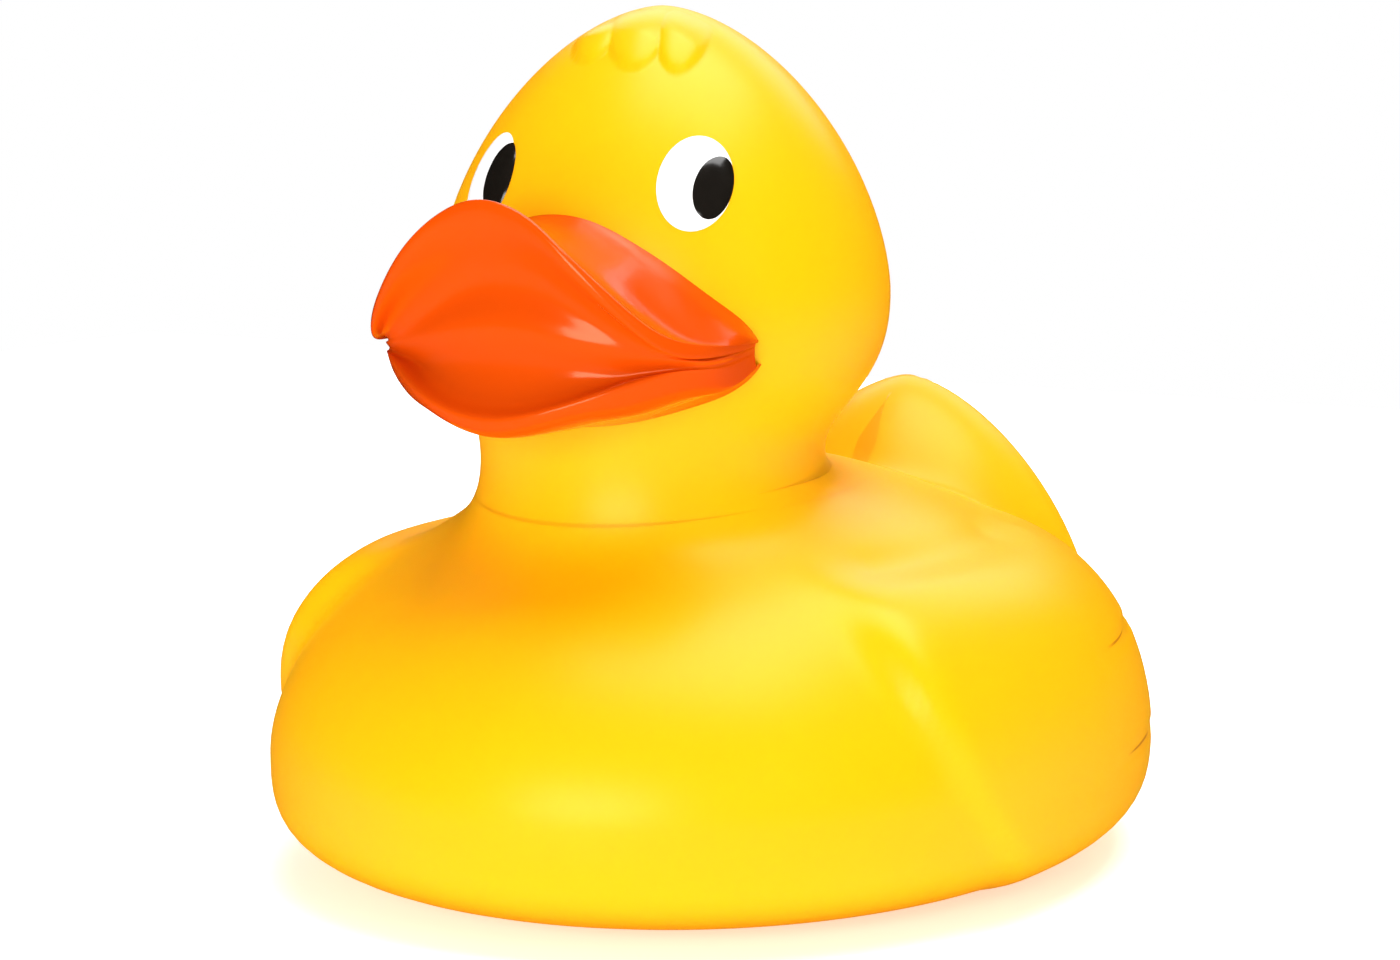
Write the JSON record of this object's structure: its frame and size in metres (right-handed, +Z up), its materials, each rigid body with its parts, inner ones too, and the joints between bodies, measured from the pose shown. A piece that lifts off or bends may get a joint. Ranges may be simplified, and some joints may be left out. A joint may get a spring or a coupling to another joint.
{
  "type": "rubber duck",
  "caption": "Hollow soft vinyl bath duck with a broad orange bill, raised wings, a combed tuft and a base plug.",
  "frame": {"origin": "middle of the box's underside, on the surface the duck rests on", "axes": "+Z up; the duck faces -Y and its tail points to +Y; +X is the duck's left side"},
  "size_m": [0.0988, 0.1166, 0.0982],
  "materials": {
    "yellow_vinyl": "satin",
    "orange_paint": "gloss",
    "white_paint": "gloss",
    "black_paint": "gloss",
    "plug_plastic": "satin"
  },
  "bodies": {
    "root": {"duck_body": "yellow_vinyl", "squeaker": "plug_plastic"}
  },
  "joints": []
}
